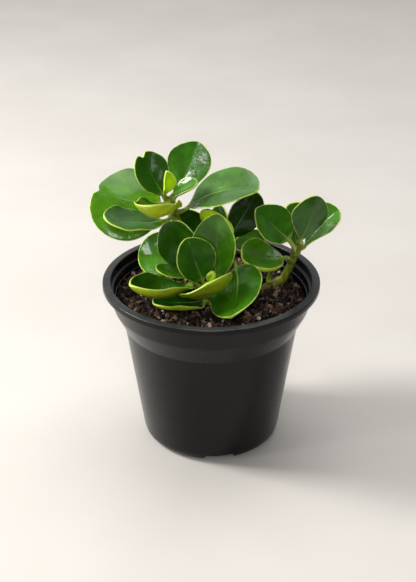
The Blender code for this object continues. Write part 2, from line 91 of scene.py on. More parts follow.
# Soil (mm)
SOIL_LEVEL = 86
SOIL_ROUGHNESS = 1.6
SOIL_SLOPE = 0.02
SOIL_BASE_Z = 5.8
SOIL_CLEARANCE = 0.5
SOIL_EDGE_CLEARANCE = 0.45
SOIL_SHOULDER_Z = 78
SOIL_SETTLED = 1.0  # how far the bed lies under the loose pieces
SOIL_RINGS = 70
SOIL_SIDES = 180
CHIPS = 4200
CHIP_SIZES = (0.8, 3.2, 0.35, 2.6)  # smallest, largest, flatness and stretch
PERLITE = 130
PERLITE_SIZES = (0.6, 2.4, 0.6, 1.4)
SMALL_SHARE = 2.2  # the higher, the more of the lumps are small
LUMPINESS = 0.22
SHOOT_CLEARANCE = 3.2
FIBRES = 150

# Shoots: centre line points in mm from the root end up, and radii in mm at root and tip
SHOOTS = {
    "tall": dict(radii=(2.7, 1.7), line=[
        (-8, 18, 74), (-8, 18, 88), (-11.5, 17.5, 104), (-17.5, 15, 121), (-21.4, 11.8, 135),
        (-23.2, 9.6, 140.5)]),
    "front": dict(radii=(2.6, 1.5), line=[
        (1, -12, 74), (1, -12, 86), (-0.2, -12.6, 94), (-1.4, -14.4, 100.4)]),
    "back": dict(radii=(2.6, 1.8), line=[(6, 17, 74), (6, 17, 88), (5.2, 15.5, 98), (4, 14, 108)]),
    "right": dict(radii=(2.7, 1.9), line=[
        (27, 8, 74), (28.2, 8.6, 81.5), (30.5, 9.8, 84.7), (33.4, 11, 85.8), (37.9, 13.5, 87.4),
        (40.8, 14.5, 88.9), (42.4, 14.8, 92.1), (44.3, 15, 96), (46.2, 15, 101.3), (46.6, 14.8, 104.1),
        (46.2, 14.6, 107)]),
}
FORK = dict(line=[(46.3, 15, 101.5), (48.6, 15, 105.5), (50.1, 15, 110.5)], radii=(1.8, 1.5))
SHOOT_SIDES = 28
SHOOT_STATIONS = 90
JOINT_STATIONS = 60  # how finely a shoot is searched for a joint's height
SWELL_HEIGHT = 1.3
SCAR_HEIGHT = 0.35
SCAR_DROP = 1.1  # how far the scar lies under its joint

# Leaves (mm)
BLADE_THICKNESS = 1.3
PETIOLE_RADIUS = 1.15
PETIOLE_FLARE = 1.35
PETIOLE_LEAVE = 2  # how squarely a petiole leaves its shoot
PETIOLE_HANDLES = (0.35, 0.4)  # how stiffly it sets out and arrives
PETIOLE_SUNK = 0.5
TIP_REACH = 1.5  # a joint this near a shoot's tip sits on its end
TIP_SUNK = 0.6
LEAF_RING = 56
BLADE_STATIONS = 60
PETIOLE_STATIONS = 16
BLADE_START = 0.18  # share of the midrib over which it flattens
TIP_HALF_WIDTH = 0.3
MIDRIB_STEPS = 64
NOTCH_WIDTH = 1.7
NOTCH_START = 0.75
LIP_START = 0.62
ACROSS_STEPS = 41
VEINS = 8.5
VEIN_SLANT = 0.75
FULL_SIZE = 14  # half width at which a leaf's relief has its full depth
FAR_FROM_RIM = 5
SEAT_SHIFT = 0.6  # the most that a leaf moves to sit in its CAD solid's box
RING_ANGLES = 2 * np.pi * np.arange(LEAF_RING) / LEAF_RING
COSINES, SINES = np.cos(RING_ANGLES), np.sin(RING_ANGLES)

# Colours, scene-linear; a pair is the darker and the lighter shade. Leaves first:
DARK = (0.026, 0.110, 0.003)
# Painted shade: a near-black green for whole leaves that sit in shade.
PAINTED_SHADE_GREEN = (0.004, 0.036, 0.001)
DEEP = (0.010, 0.058, 0.002)
MID = (0.046, 0.165, 0.004)
FRESH = (0.062, 0.200, 0.003)
BRIGHT = (0.060, 0.210, 0.012)
SOFT = (0.055, 0.160, 0.018)
YOUNG = (0.60, 0.88, 0.010)
UNDER = (0.44, 0.58, 0.018)
EDGE = (0.52, 0.66, 0.10)
RIB = (0.19, 0.34, 0.06)
VEIN = (0.16, 0.30, 0.05)
UNDER_RIB = (0.42, 0.52, 0.12)
STALK = ((0.19, 0.28, 0.025), (0.30, 0.40, 0.05))

# and everything else:
BLACK = ((0.0030, 0.0030, 0.0036), (0.0052, 0.0050, 0.0050))
DUST = (0.12, 0.10, 0.08)
# Painted reflection: a lighter grey on the lip's top, for the bright room reflected there.
PAINTED_LIP_SHEEN = (0.030, 0.030, 0.031)
OLD_SKIN = (0.13, 0.105, 0.010)
NEW_SKIN = (0.21, 0.25, 0.010)
SKIN_SPECK = (0.33, 0.27, 0.13)
SCAR = (0.13, 0.055, 0.022)
# Soil bed: the lighter is the soil's own dark brown; the near-black darker one is partly the soil's own
# colour and partly painted shade, for the shadowed gaps between the loose pieces.
SOIL_AND_GAP_SHADE = ((0.002, 0.0012, 0.001), (0.020, 0.011, 0.008))
BARK = [(0.045, 0.022, 0.014), (0.085, 0.042, 0.026), (0.012, 0.007, 0.005), (0.006, 0.004, 0.003),
        (0.22, 0.14, 0.095), (0.008, 0.005, 0.004)]
FIBRE = (0.16, 0.085, 0.045)
WHITE = [(0.62, 0.55, 0.43), (0.70, 0.66, 0.56)]
FLOOR = ((0.58, 0.55, 0.51), (0.61, 0.58, 0.54))

# Studio (metres, watts); a light is its name, place, size, power and colour
FLOOR_HALF = 4
AIM = (0, 0, 0.1)
LIGHTS = [
    ("key", (-1.0, 0.14, 0.83), (0.34, 0.42), 18, (1.0, 0.985, 0.96)),
    ("pane", (-0.95, -0.44, 0.73), (0.09, 0.16), 1.6, (1.0, 0.99, 0.97)),
    ("top", (0.1, 0.35, 1.5), (1.0, 1.0), 9, (1.0, 0.99, 0.98)),
    ("front", (-0.05, -1.25, 0.98), (0.4, 0.3), 6.5, (1.0, 1.0, 1.0)),
    ("glint", (0.71, -0.85, 0.50), (0.20, 0.26), 0.8, (1.0, 1.0, 1.0)),
]
BRIGHT_SIDE = (-0.45, 0.78, 0.43)
ROOM = {"From Min": 0.0, "From Max": 0.85, "To Min": 0.06, "To Max": 0.78}
ROOM_COLOUR = (0.97, 0.98, 1.0, 1)
CAMERA_PLACE = (-0.0018, -0.5569, 0.3808)
CAMERA_TILT = radians(62.3)
CAMERA_LENS = 70

# The part's leaf table (mm, degrees) with what only shows: colours above (DARK unless given) and below,
# notch (depth at the tip), rib (how pale the midrib is), crease, ripple, plump, margin (below 1, a wider
# pale rim on one side), painted shade (share darkened on each side, fading to the tip, for the shade
# that falls there) and lip (rim turned up: near, far, start).
LEAVES = [
    dict(name="tall_leaf_broad", on="tall", joint=130, base=(-26.8, 10.5, 136),
         heading=-170, pitch=4, roll=-42, length=37, width=45.5, bend=-8, sway=-33, twist=2,
         cup=-20, fold=-1, shape=(0.52, 0.40, 0.45), upper=FRESH, notch=2.0, rib=1.0),
    dict(name="tall_leaf_upper", on="tall", joint=135, base=(-25.9, 12.2, 140.9),
         heading=153, pitch=54, roll=-27, length=26, width=22, bend=18, sway=0, twist=1,
         cup=26, fold=2, shape=(0.54, 0.65, 0.45), notch=2.6),
    dict(name="tall_leaf_top", on="tall", joint=131, base=(-20.5, 18.5, 136),
         heading=48, pitch=46, roll=15, length=34, width=26.5, bend=14, sway=5, twist=1,
         cup=3, fold=7, shape=(0.63, 0.70, 0.60)),
    dict(name="tall_leaf_right", on="tall", joint=131, base=(-12.5, 7.5, 136),
         heading=-6, pitch=40, roll=14, length=41.5, width=34, bend=-37, sway=-20, twist=-3,
         cup=-1, fold=11, shape=(0.53, 0.70, 0.50), upper=SOFT, rib=1.0, crease=3, painted_shade=(0.1, 0.65)),
    dict(name="tall_leaf_small", on="tall", joint=139, base=(-21.5, 7, 143),
         heading=-8, pitch=27, roll=10, length=16.5, width=16.5, bend=7, sway=-6, twist=1,
         cup=53, fold=-7, shape=(0.50, 0.60, 0.45), petiole=0.7, upper=MID),
    dict(name="tall_leaf_young", on="tall", joint=140, base=(-24.6, 6.5, 143),
         heading=53, pitch=95, roll=74, length=15, width=13, bend=15, sway=-5, twist=-2,
         cup=33, fold=39, shape=(0.59, 0.65, 0.50), petiole=0.6, upper=YOUNG, lower=YOUNG),
    dict(name="tall_leaf_front", on="tall", joint=136.5, base=(-23.5, 4.5, 139.5),
         heading=-106, pitch=-13, roll=-2, length=43.5, width=29, bend=68, sway=9, twist=8,
         cup=58, fold=8, shape=(0.44, 0.45, 0.45), ripple=0.5),
    dict(name="tall_leaf_lower", on="tall", joint=132.5, base=(-25.5, -1.5, 132),
         heading=-160, pitch=-4, roll=-3, length=34, width=26.5, bend=33, sway=-2, twist=-6,
         cup=26, fold=-1, shape=(0.61, 0.45, 0.50), ripple=0.9, painted_shade=(0, 0.4)),
    dict(name="front_leaf_round", on="front", joint=98.0, base=(-4.9, -14.7, 102.4),
         heading=162, pitch=66, roll=-43, length=25, width=25, bend=0, sway=-7, twist=2,
         cup=19, fold=11, shape=(0.52, 0.55, 0.50)),
    dict(name="front_leaf_tall", on="front", joint=96, base=(2, -10.5, 102),
         heading=72, pitch=81, roll=-3, length=36, width=27, bend=5, sway=0, twist=1,
         cup=28, fold=7, shape=(0.52, 0.55, 0.60), upper=MID, painted_shade=(0.7, 0)),
    dict(name="front_leaf_near", on="front", joint=93.4, base=(-2.5, -18.5, 95),
         heading=-75, pitch=40, roll=7, length=21.5, width=32, bend=18, sway=-20, twist=10,
         cup=45, fold=-9, shape=(0.55, 0.65, 0.55)),
    dict(name="front_leaf_rear_left", on="front", joint=91, base=(-6.5, 1.5, 97.5),
         heading=164, pitch=63, roll=-99, length=35.5, width=29, bend=6, sway=-5, twist=0,
         cup=28, fold=6, shape=(0.54, 0.60, 0.40)),
    dict(name="front_leaf_small", on="front", joint=95.6, base=(-12.6, -8.2, 100.5),
         heading=161, pitch=12, roll=12, length=18.5, width=18, bend=4, sway=5, twist=-4,
         cup=-5, fold=5, shape=(0.57, 0.65, 0.50), petiole=0.7, upper=MID),
    dict(name="front_leaf_left", on="front", joint=93, base=(-10, -14, 100),
         heading=-143, pitch=-27, roll=14, length=42, width=31, bend=83, sway=-1, twist=-17,
         cup=39, fold=19, shape=(0.54, 0.50, 0.45), petiole=1.0, ripple=0.3),
    dict(name="front_leaf_low", on="front", joint=88, base=(-2.5, -16, 91),
         heading=-175, pitch=-11, roll=-16, length=29, width=27, bend=20, sway=-15, twist=6,
         cup=57, fold=0, shape=(0.52, 0.55, 0.50), upper=PAINTED_SHADE_GREEN, lip=(45, 0, 0.62), ripple=0.4),
    dict(name="front_leaf_heart", on="back", joint=96, base=(13.5, -5.5, 106.5),
         heading=-82, pitch=-24, roll=39, length=38.5, width=33.5, bend=25, sway=-14, twist=-1,
         cup=-12, fold=10, shape=(0.51, 0.50, 0.50), rib=1.2, crease=2),
    dict(name="front_bud", on="front", joint=100.4, base=(-1.9, -16.2, 102.4),
         heading=15, pitch=58, roll=70, length=6.5, width=6, bend=10, sway=0, twist=0,
         cup=30, fold=30, shape=(0.52, 0.60, 0.50), petiole=0.6, upper=YOUNG, lower=YOUNG, plump=2.2),
    dict(name="back_leaf_left", on="tall", joint=97, base=(-15.5, 10, 102),
         heading=177, pitch=11, roll=-40, length=25, width=29, bend=-2, sway=8, twist=-2,
         cup=24, fold=9, shape=(0.54, 0.60, 0.45), upper=BRIGHT),
    dict(name="back_leaf_dark", on="back", joint=98, base=(-8.7, 22.5, 105.5),
         heading=152, pitch=56, roll=-63, length=22.5, width=25.5, bend=6, sway=-4, twist=0,
         cup=14, fold=4, shape=(0.53, 0.60, 0.50), upper=PAINTED_SHADE_GREEN),
    dict(name="back_leaf_pale", on="back", joint=103, base=(6, 8, 108.5),
         heading=-142, pitch=68, roll=20, length=31, width=22, bend=2, sway=4, twist=-1,
         cup=29, fold=6, shape=(0.54, 0.60, 0.55), upper=MID, lower=YOUNG),
    dict(name="back_leaf_rear", on="back", joint=99, base=(14, 23.5, 105),
         heading=138, pitch=54, roll=-93, length=25, width=25, bend=-3, sway=-5, twist=1,
         cup=38, fold=14, shape=(0.54, 0.60, 0.50), upper=DEEP),
    dict(name="back_leaf_right", on="back", joint=106, base=(8.5, 12, 115.5),
         heading=31, pitch=48, roll=89, length=30, width=23.5, bend=10, sway=12, twist=3,
         cup=-9, fold=14, shape=(0.54, 0.60, 0.60), upper=PAINTED_SHADE_GREEN),
    dict(name="right_leaf_low", on="right", joint=85.9, base=(32, 14, 99.5),
         heading=-177, pitch=27, roll=-16, length=22.5, width=29, bend=1, sway=-10, twist=-1,
         cup=38, fold=14, shape=(0.55, 0.65, 0.50), leave=0.8, upper=SOFT),
    dict(name="right_leaf_left", on="right", joint=104.5, base=(42.5, 2.5, 118.5),
         heading=151, pitch=34, roll=-24, length=25, width=24.5, bend=18, sway=10, twist=4,
         cup=-2, fold=14, shape=(0.46, 0.60, 0.60), leave=0.4),
    dict(name="right_leaf_cupped", on="right", joint=100, base=(40, 4, 107),
         heading=-168, pitch=-4, roll=-21, length=25, width=25.5, bend=35, sway=-9, twist=-9,
         cup=31, fold=-7, shape=(0.54, 0.45, 0.40), leave=0.3, upper=MID, lip=(120, 0, 0.70), margin=0.6),
    dict(name="right_leaf_top", on="fork", joint=110.5, base=(49, 9, 115),
         heading=2, pitch=59, roll=118, length=26.5, width=25.5, bend=-25, sway=19, twist=0,
         cup=11, fold=-12, shape=(0.56, 0.70, 0.55)),
    dict(name="right_leaf_pale", on="fork", joint=104.6, base=(47.5, 20.5, 107.3),
         heading=132, pitch=77, roll=1, length=24, width=27, bend=1, sway=7, twist=3,
         cup=67, fold=7, shape=(0.61, 0.65, 0.45), upper=SOFT),
    dict(name="right_leaf_far", on="fork", joint=108.4, base=(52.5, 22.5, 105),
         heading=23, pitch=52, roll=13, length=28.5, width=23.5, bend=-9, sway=-14, twist=3,
         cup=16, fold=15, shape=(0.69, 0.60, 0.50), leave=0.8, upper=MID),
]


class Look:
    """A procedural material, built socket by socket."""

    def __init__(self, name):
        self.material = bpy.data.materials.new(name)
        self.material.use_nodes = True
        self.tree = self.material.node_tree
        self.shader = self.tree.nodes["Principled BSDF"]
        self.coords = self.tree.nodes.new("ShaderNodeTexCoord").outputs["Object"]

    def node(self, kind, inputs, **settings):
        made = self.tree.nodes.new(kind)
        for key, value in settings.items():
            setattr(made, key, value)
        for key, value in inputs.items():
            self.feed(made.inputs[key], value)
        return made

    def feed(self, socket, value):
        if isinstance(value, bpy.types.NodeSocket):
            self.tree.links.new(value, socket)
        elif isinstance(value, tuple) and len(value) == 3 and socket.type == "RGBA":
            socket.default_value = (*value, 1)
        else:
            socket.default_value = value

    def noise(self, scale, detail=3, roughness=0.5, coords=None):
        made = self.node("ShaderNodeTexNoise", {"Vector": coords or self.coords, "Scale": scale,
                                                "Detail": detail, "Roughness": roughness})
        return made.outputs["Fac"]

    def cells(self, scale):
        made = self.node("ShaderNodeTexVoronoi", {"Vector": self.coords, "Scale": scale})
        return made.outputs["Distance"]

    def stretched(self, scale):
        return self.node("ShaderNodeMapping", {"Vector": self.coords, "Scale": scale}).outputs["Vector"]

    def value(self, name):
        return self.node("ShaderNodeAttribute", {}, attribute_name=name).outputs["Fac"]

    def colour(self, name):
        return self.node("ShaderNodeAttribute", {}, attribute_name=name).outputs["Color"]

    def maths(self, operation, a, b=0.0):
        return self.node("ShaderNodeMath", {0: a, 1: b}, operation=operation).outputs[0]

    def ramp(self, value, low, high, to_low=0.0, to_high=1.0):
        made = self.node("ShaderNodeMapRange", {"Value": value, "From Min": low, "From Max": high,
                                                "To Min": to_low, "To Max": to_high},
                         interpolation_type="SMOOTHSTEP")
        return made.outputs["Result"]

    def mix(self, share, a, b):
        made = self.node("ShaderNodeMix", {}, data_type="RGBA")
        self.feed(made.inputs["Factor"], share)
        self.feed(made.inputs[6], a)
        self.feed(made.inputs[7], b)
        return made.outputs[2]

    def scaled(self, colour, by):
        made = self.node("ShaderNodeVectorMath", {"Scale": by}, operation="SCALE")
        self.feed(made.inputs[0], colour)
        return made.outputs["Vector"]

    def bump(self, height, distance, strength=1.0):
        return self.node("ShaderNodeBump", {"Height": height, "Distance": distance,
                                            "Strength": strength}).outputs["Normal"]

    def finish(self, **sockets):
        for key, value in sockets.items():
            self.feed(self.shader.inputs[key.replace("_", " ")], value)
        return self.material


def leaf_look(name, gloss):
    look = Look(name)
    broad = look.noise(130, 3)
    fine = look.noise(900, 2)
    along, across = look.value("along"), look.value("across")
    rim, upper = look.value("rim"), look.value("upper")
    top = look.scaled(look.colour("tint"), look.ramp(broad, 0.3, 0.72, 0.78, 1.24))
    fade = look.ramp(along, 0.05, 0.9, 1.0, 0.0)
    rib_width = look.ramp(along, 0.0, 1.0, 0.75, 0.22)
    off_rib = look.maths("DIVIDE", look.maths("ABSOLUTE", across), rib_width)
    near_rib = look.ramp(off_rib, 0.3, 1.15, 1.0, 0.0)
    rib = look.maths("MULTIPLY", look.maths("MULTIPLY", near_rib, fade), look.value("rib"))
    top = look.mix(rib, top, RIB)
    veins = look.ramp(look.maths("SINE", look.value("vein")), 0.86, 1.0, 0.0, 0.13)
    top = look.mix(look.maths("MULTIPLY", veins, fade), top, VEIN)
    under = look.scaled(look.colour("lower"), look.ramp(broad, 0.3, 0.7, 0.86, 1.14))
    under = look.mix(look.maths("MULTIPLY", near_rib, 0.45), under, UNDER_RIB)
    blade = look.mix(look.ramp(upper, -0.1, 0.1), under, top)
    ragged = look.maths("ADD", rim, look.ramp(look.noise(420, 2), 0.3, 0.7, -0.12, 0.12))
    blade = look.mix(look.ramp(ragged, 0.12, 0.42, 0.8, 0.0), blade, look.colour("edge"))
    stalk = look.mix(look.ramp(look.noise(300, 2), 0.35, 0.65), *STALK)
    blade = look.mix(look.ramp(along, -0.03, 0.11, 1.0, 0.0), blade, stalk)
    roughness = look.ramp(fine, 0.3, 0.7, gloss - 0.04, gloss + 0.06)
    roughness = look.maths("ADD", roughness, look.ramp(upper, -0.1, 0.1, 0.14, 0.0))
    height = look.maths("ADD", look.noise(170, 2), look.maths("MULTIPLY", look.noise(620, 2), 0.18))
    return look.finish(Base_Color=blade, Roughness=roughness, Normal=look.bump(height, 0.0006, 0.5),
                       Specular_IOR_Level=0.38, Subsurface_Weight=0.08,
                       Subsurface_Radius=(0.5, 1.0, 0.15), Subsurface_Scale=0.0012)


def shoot_look():
    look = Look("shoot_skin")
    streaks = look.noise(1, 3, 0.6, look.stretched((900, 900, 160)))
    patches = look.noise(240, 3)
    along = look.maths("ADD", look.value("along"), look.ramp(patches, 0.3, 0.7, -0.16, 0.16))
    skin = look.mix(look.ramp(along, 0.05, 0.5), OLD_SKIN, NEW_SKIN)
    skin = look.scaled(skin, look.ramp(streaks, 0.3, 0.7, 0.7, 1.3))
    specks = look.ramp(look.cells(800), 0.12, 0.26, 1.0, 0.0)
    skin = look.mix(look.maths("MULTIPLY", specks, 0.35), skin, SKIN_SPECK)
    skin = look.mix(look.value("scar"), skin, SCAR)
    height = look.maths("ADD", streaks, look.noise(700, 2))
    return look.finish(Base_Color=skin, Roughness=look.ramp(patches, 0.3, 0.7, 0.42, 0.58),
                       Normal=look.bump(height, 0.0003, 0.6), Specular_IOR_Level=0.3,
                       Subsurface_Weight=0.05, Subsurface_Radius=(0.6, 1.0, 0.2), Subsurface_Scale=0.0008)


def pot_look():
    look = Look("pot_plastic")
    haze = look.noise(28, 4)
    grain = look.noise(2600, 2)
    scuffs = look.noise(1, 4, 0.7, look.stretched((210, 210, 26)))
    black = look.mix(look.ramp(haze, 0.35, 0.7), *BLACK)
    dust = look.maths("MULTIPLY", look.ramp(look.noise(900, 3, 0.7), 0.60, 0.78), look.ramp(haze, 0.4, 0.7))
    black = look.mix(look.maths("MULTIPLY", dust, 0.25), black, DUST)
    height = look.node("ShaderNodeSeparateXYZ", {"Vector": look.coords}).outputs["Z"]
    # Painted reflection: the lip's flat top is lighter in patches, standing for the bright room reflected in
    # it.
    lip_sheen = look.ramp(height, (POT_HEIGHT - 0.9) * MM, (POT_HEIGHT - 0.1) * MM)
    lip_sheen = look.maths("MULTIPLY", lip_sheen, look.ramp(look.noise(120, 4), 0.25, 0.6, 0.55, 1.0))
    black = look.mix(lip_sheen, black, PAINTED_LIP_SHEEN)
    roughness = look.ramp(haze, 0.3, 0.7, 0.20, 0.26)
    roughness = look.maths("ADD", roughness, look.ramp(scuffs, 0.5, 0.8, 0.0, 0.1))
    return look.finish(Base_Color=black, Roughness=roughness, Specular_IOR_Level=0.2,
                       Normal=look.bump(grain, 0.00008, 0.5))


def soil_look():
    look = Look("soil_mix")
    grit = look.noise(1100, 5, 0.7)
    clumps = look.noise(160, 3)
    # The bed is mostly the near-black colour, partly painted shade for the gaps between the loose pieces,
    # flecked with the soil's own brown.
    share = look.maths("MULTIPLY", look.ramp(grit, 0.35, 0.75), look.ramp(clumps, 0.3, 0.7, 0.5, 1.0))
    return look.finish(Base_Color=look.mix(share, *SOIL_AND_GAP_SHADE), Roughness=look.ramp(grit, 0.3, 0.7, 0.8, 0.95),
                       Specular_IOR_Level=0.25, Normal=look.bump(grit, 0.0007))


def grain_look(name, roughness, low, high):
    """For loose pieces that each carry their own colour."""
    look = Look(name)
    grit = look.noise(1500, 4, 0.65)
    return look.finish(Base_Color=look.scaled(look.colour("tint"), look.ramp(grit, 0.3, 0.7, low, high)),
                       Roughness=look.ramp(grit, 0.3, 0.7, roughness - 0.1, roughness + 0.06),
                       Specular_IOR_Level=0.3, Normal=look.bump(grit, 0.0003))


def floor_look():
    look = Look("floor_paint")
    tone = look.mix(look.ramp(look.noise(9, 3), 0.35, 0.7), *FLOOR)
    return look.finish(Base_Color=tone, Roughness=look.ramp(look.noise(60, 2), 0.3, 0.7, 0.55, 0.62))


def unit(vector):
    return vector / np.linalg.norm(vector)


def eased(share):
    """0 to 1, with a gentle start and end."""
    return share * share * (3 - 2 * share)


def add_mesh(name, points, faces, look, sharp=None):
    """An object from points in metres. sharp is the angle above which edges stay crisp."""
    mesh = bpy.data.meshes.new(name)
    points = np.asarray(points, float)
    mesh.from_pydata(points.tolist(), [], faces)
    mesh.validate()
    mesh.shade_smooth()
    if sharp:
        mesh.set_sharp_from_angle(angle=radians(sharp))
    made = bpy.data.objects.new(name, mesh)
    bpy.context.scene.collection.objects.link(made)
    if look:
        mesh.materials.append(look)
    return made


def paint(obj, name, values):
    attribute = obj.data.attributes.new(name, "FLOAT", "POINT")
    attribute.data.foreach_set("value", np.asarray(values, np.float32))


def paint_colour(obj, name, values):
    values = np.asarray(values, np.float32)
    if values.ndim == 1:
        values = np.tile(values, (len(obj.data.vertices), 1))
    values = np.concatenate([values, np.ones((len(values), 1), np.float32)], 1)
    attribute = obj.data.attributes.new(name, "FLOAT_COLOR", "POINT")
    attribute.data.foreach_set("color", values.ravel())


def keep(obj, node=None):
    """Make obj a piece of the model, standing for a CAD node where one is named."""
    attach(obj, "root")
    if node:
        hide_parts(node)


def applied(obj):
    """Replace obj's mesh by its evaluated one and drop the modifiers."""
    graph = bpy.context.evaluated_depsgraph_get()
    made = bpy.data.meshes.new_from_object(obj.evaluated_get(graph))
    obj.modifiers.clear()
    obj.data = made


def boolean(target, other, operation):
    step = target.modifiers.new(other.name, "BOOLEAN")
    step.operation = operation
    step.object = other
    applied(target)
    bpy.data.objects.remove(other, do_unlink=True)


def ring_faces(rings, count):
    faces = []
    for i in range(rings - 1):
        for j in range(count):
            k = (j + 1) % count
            faces.append((i * count + j, i * count + k, (i + 1) * count + k, (i + 1) * count + j))
    return faces


def capped_faces(rings, sides):
    """Faces of rings of points that close on a first point underneath and a last one on top."""
    faces = [tuple(i + 1 for i in face) for face in ring_faces(rings, sides)]
    last, top = rings * sides + 1, 1 + (rings - 1) * sides
    for j in range(sides):
        k = (j + 1) % sides
        faces += [(0, 1 + k, 1 + j), (last, top + j, top + k)]
    return faces


def turned(name, profile, sides, look, sharp=None):
    """A closed turned solid. Its profile (mm) starts on the axis underneath and ends on it on top."""
    angles = 2 * np.pi * np.arange(sides) / sides
    points = [(0, 0, profile[0][1])]
    for radius, z in profile[1:-1]:
        points += [(radius * c, radius * s, z) for c, s in zip(np.cos(angles), np.sin(angles))]
    points.append((0, 0, profile[-1][1]))
    return add_mesh(name, np.array(points) * MM, capped_faces(len(profile) - 2, sides), look, sharp)


def rounded(corners):
    """A profile whose corners (radius, z, fillet) are each replaced by a short curve."""
    out = [corners[0][:2]]
    for before, corner, after in zip(corners, corners[1:], corners[2:]):
        here, fillet = np.array(corner[:2], float), corner[2]
        into, away = np.array(before[:2]) - here, np.array(after[:2]) - here
        reach = min(fillet, 0.45 * np.linalg.norm(into), 0.45 * np.linalg.norm(away))
        if reach <= 0:
            out.append(tuple(here))
            continue
        start, end = here + unit(into) * reach, here + unit(away) * reach
        for t in np.linspace(0, 1, FILLET_STEPS):
            out.append(tuple((1 - t) ** 2 * start + 2 * t * (1 - t) * here + t * t * end))
    out.append(corners[-1][:2])
    return out


def inner_radius(z):
    """Radius (mm) of the pot's inner wall at height z, below the rim step."""
    heights = [BASE_CORNER, WAIST_Z, COLLAR_Z, RIM_STEP_Z]
    radii = [BASE_RADIUS - WALL, WAIST_RADIUS - WALL, COLLAR_RADIUS - WALL, LIP_INNER_RADIUS - RIM_STEP_IN]
    return float(np.interp(z, heights, radii))


def pot_corners():
    """Radius, height and fillet of each corner, from the pad underneath round the lip to the floor."""
    lip_base, soft = POT_HEIGHT - LIP_HEIGHT, SOFT_EDGE
    return [
        (0, 0, 0), (CENTRE_PAD_RADIUS, 0, soft), (CENTRE_PAD_RADIUS + 1, UNDERSIDE_RECESS, soft),
        (FOOT_INNER_RADIUS - 1, UNDERSIDE_RECESS, soft), (FOOT_INNER_RADIUS, 0, soft),
        (BASE_RADIUS, 0, BASE_CORNER), (WAIST_RADIUS - 0.3, WAIST_Z - 2, 1), (WAIST_RADIUS, WAIST_Z, 0.5),
        (COLLAR_RADIUS, COLLAR_Z, 1.2), (COLLAR_TOP_RADIUS, lip_base, 0.5), (LIP_RADIUS, lip_base, 0.5),
        (LIP_RADIUS, POT_HEIGHT, 1.1), (LIP_INNER_RADIUS, POT_HEIGHT, 0.8),
        (LIP_INNER_RADIUS, RIM_STEP_Z, 0.3),
        (LIP_INNER_RADIUS - RIM_STEP_IN, RIM_STEP_Z - soft, soft),
        *[(inner_radius(z) - inward, z, fillet) for z, inward, fillet in WALL_RIDGE],
        *[(inner_radius(z), z, 1) for z in (COLLAR_Z, WAIST_Z, FLOOR_CORNER_Z)],
        (BASE_RADIUS - WALL - 3, FLOOR_TOP, 1.5), (0, FLOOR_TOP, 0),
    ]


def make_pot(look):
    pot = turned("pot_shell", rounded(pot_corners()), POT_SIDES, look, sharp=50)
    for i in range(FOOT_NOTCHES):
        angle = FOOT_NOTCH_TURN + 2 * pi * i / FOOT_NOTCHES - pi / 2
        boolean(pot, foot_notch(angle), "DIFFERENCE")
    for i in range(DRAIN_HOLES):
        boolean(pot, drain_hole(DRAIN_TURN + 2 * pi * i / DRAIN_HOLES), "DIFFERENCE")
    keep(pot, "pot")


def tube_faces(rings, count):
    last = (rings - 1) * count
    caps = [tuple(reversed(range(count))), tuple(range(last, last + count))]
    return ring_faces(rings, count) + caps


def closed_tube(name, rings, look=None):
    """Rings of points (mm) joined up and capped flat."""
    faces = tube_faces(len(rings), len(rings[0]))
    return add_mesh(name, np.array([p for ring in rings for p in ring]) * MM, faces, look)


def drain_hole(angle):
    x, y = DRAIN_RING_RADIUS * cos(angle), DRAIN_RING_RADIUS * sin(angle)
    around = np.linspace(0, 2 * pi, DRAIN_HOLE_SIDES, endpoint=False)
    circle = [(x + DRAIN_HOLE_RADIUS * cos(a), y + DRAIN_HOLE_RADIUS * sin(a)) for a in around]
    rings = [[(*point, z) for point in circle] for z in (-CUT_MARGIN, FLOOR_TOP + CUT_MARGIN)]
    return closed_tube("hole", rings)


def foot_notch(angle):
    """A cutter across the foot with rounded upper corners."""
    half, rounding = FOOT_NOTCH_WIDTH / 2, FOOT_NOTCH_ROUNDING
    quarter = np.radians([0, 30, 60, 90])
    arch = [(-half, -CUT_MARGIN), (half, -CUT_MARGIN)]
    for side, turns in ((1, quarter), (-1, quarter[::-1])):
        arch += [(side * (half - rounding + rounding * cos(t)),
                  FOOT_NOTCH_HEIGHT - rounding + rounding * sin(t)) for t in turns]
    c, s = cos(angle), sin(angle)
    rings = [[(r * c - x * s, r * s + x * c, z) for x, z in arch]
             for r in (FOOT_INNER_RADIUS - CUT_MARGIN, BASE_RADIUS + CUT_MARGIN)]
    return closed_tube("notch", rings)


def soil_height(x, y):
    """Uneven top of the soil (mm), a little higher at the front left."""
    waves = (sin(x * 0.31 + 0.7) * cos(y * 0.27 + 1.1) + sin(x * 0.52 + y * 0.43)
             + 0.6 * sin(x * 0.9 - y * 0.76 + 2.0))
    return SOIL_LEVEL + SOIL_ROUGHNESS * waves / 2.6 - SOIL_SLOPE * (x + y)


def crumbs(x, y):
    """Fine roughness (mm) added to the soil's top."""
    spot = Vector((x, y, 3.0))
    return 0.9 * noise.fractal(spot * 0.33, 1.0, 2.0, 4) + 0.5 * noise.fractal(spot * 1.1, 1.0, 2.0, 3)


